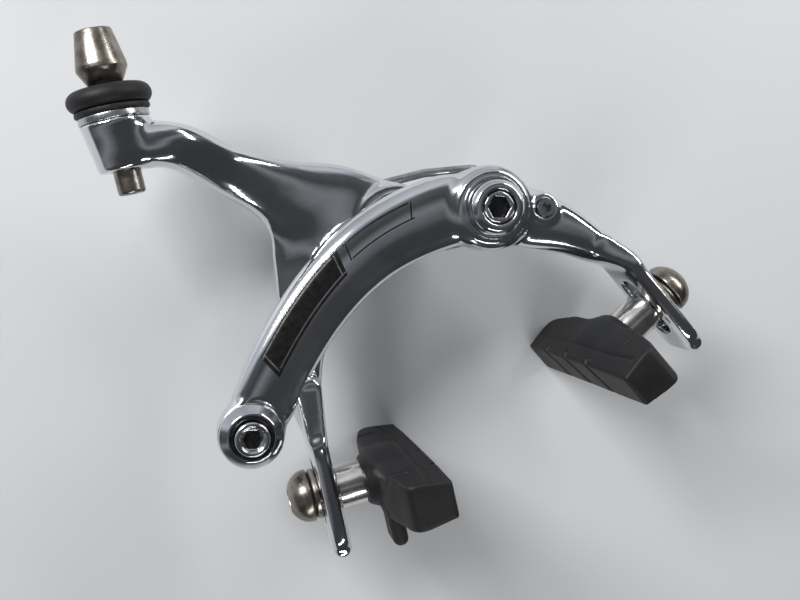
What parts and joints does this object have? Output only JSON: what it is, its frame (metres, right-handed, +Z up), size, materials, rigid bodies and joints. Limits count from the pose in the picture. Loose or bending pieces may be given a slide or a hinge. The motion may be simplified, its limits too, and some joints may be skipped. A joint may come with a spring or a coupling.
{
  "type": "rim brake caliper",
  "caption": "Dual-pivot side-pull rim brake caliper with polished arms, cable adjuster, cable clamp and adjustable rubber pads.",
  "frame": {"origin": "on the mounting bolt's axis, at the washer face that seats on the fork crown", "axes": "+Z up and away from the wheel, -Y towards the front of the bicycle, +Y along the mounting bolt into the fork, X to the right seen from the front"},
  "size_m": [0.0999, 0.0684, 0.1103],
  "materials": {
    "polished_aluminium": "mirror polished",
    "satin_aluminium": "satin",
    "chromed_steel": "bright chrome",
    "nickel_plated_steel": "worn nickel plate",
    "plain_steel": "zinc plated",
    "bronze_bearing": "plain sintered",
    "black_rubber": "matt moulded rubber",
    "black_plastic": "matt"
  },
  "bodies": {
    "bridge": {"mounting_bolt": "plain_steel", "toothed_seat_washer": "plain_steel", "pivot_bridge": "satin_aluminium", "side_pivot_bolt": "chromed_steel", "rear_friction_washer": "bronze_bearing", "side_friction_washer": "bronze_bearing", "side_cap_washer": "chromed_steel", "return_spring": "plain_steel"},
    "rear_arm": {"rear_arm": "polished_aluminium", "rear_pivot_bush": "bronze_bearing", "adjuster_washer": "satin_aluminium"},
    "front_arm": {"front_arm": "polished_aluminium", "side_pivot_bush": "bronze_bearing", "equaliser_pin": "plain_steel", "cable_clamp_washer": "chromed_steel", "cable_clamp_bolt": "chromed_steel", "cable_clamp_nut": "plain_steel"},
    "equaliser_roller": {"equaliser_roller": "plain_steel"},
    "centring_screw": {"centring_screw": "plain_steel"},
    "adjuster_wheel": {"adjuster_thumbwheel": "black_plastic", "thumbwheel_rubber_ring": "black_rubber"},
    "adjuster_barrel": {"adjuster_barrel": "nickel_plated_steel"},
    "left_shoe_carrier": {"left_pad_post": "plain_steel", "left_pad_spacer": "nickel_plated_steel", "left_dished_washer": "nickel_plated_steel", "left_dome_nut": "nickel_plated_steel"},
    "left_brake_pad": {"left_brake_pad": "black_rubber"},
    "right_shoe_carrier": {"right_pad_post": "plain_steel", "right_pad_spacer": "nickel_plated_steel", "right_dished_washer": "nickel_plated_steel", "right_dome_nut": "nickel_plated_steel"},
    "right_brake_pad": {"right_brake_pad": "black_rubber"}
  },
  "joints": [
    {"name": "rear_arm_pivot", "type": "hinge", "parent": "bridge", "child": "rear_arm", "pos_m": [0, -0.011, 0], "axis": [0, -1, 0], "range_deg": [0, 11], "stiffness_Nm_per_rad": 0.6, "deforming": ["return_spring"]},
    {"name": "front_arm_pivot", "type": "hinge", "parent": "bridge", "child": "front_arm", "pos_m": [0.017, -0.015, -0.0049], "axis": [0, 1, 0], "range_deg": [0, 14.3], "deforming": ["return_spring"]},
    {"name": "equaliser_roller_spin", "type": "hinge", "parent": "front_arm", "child": "equaliser_roller", "pos_m": [0.00961, -0.011, -0.00277], "axis": [0, 1, 0], "continuous": true},
    {"name": "centring_screw_turn", "type": "hinge", "parent": "front_arm", "child": "centring_screw", "pos_m": [0.0266, -0.022, -0.0099], "axis": [0, -1, 0], "range_deg": [-180, 180]},
    {"name": "adjuster_wheel_turn", "type": "hinge", "parent": "rear_arm", "child": "adjuster_wheel", "pos_m": [-0.0374, -0.0204, 0.0457], "axis": [0.2639, 0, 0.9646], "range_deg": [-180, 1800]},
    {"name": "adjuster_barrel_slide", "type": "slide", "parent": "rear_arm", "child": "adjuster_barrel", "axis": [0.2639, 0, 0.9646], "range_m": [-0.0005, 0.005]},
    {"name": "left_shoe_height", "type": "slide", "parent": "rear_arm", "child": "left_shoe_carrier", "axis": [0.2588, 0, 0.9659], "range_m": [-0.003, 0.003]},
    {"name": "left_pad_swivel", "type": "hinge", "parent": "left_shoe_carrier", "child": "left_brake_pad", "pos_m": [-0.02959, -0.0164, -0.04149], "axis": [-0.9659, 0, 0.2588], "range_deg": [-8, 8]},
    {"name": "right_shoe_height", "type": "slide", "parent": "front_arm", "child": "right_shoe_carrier", "axis": [-0.2419, 0, 0.9703], "range_m": [-0.003, 0.003]},
    {"name": "right_pad_swivel", "type": "hinge", "parent": "right_shoe_carrier", "child": "right_brake_pad", "pos_m": [0.03154, -0.0164, -0.0417], "axis": [0.9703, 0, 0.2419], "range_deg": [-8, 8]}
  ],
  "couplings": [
    {"joint": "front_arm_pivot", "follows": "rear_arm_pivot", "ratio": 1.3},
    {"joint": "adjuster_wheel_turn", "follows": "adjuster_barrel_slide", "rad_per_m": 6283.2}
  ]
}
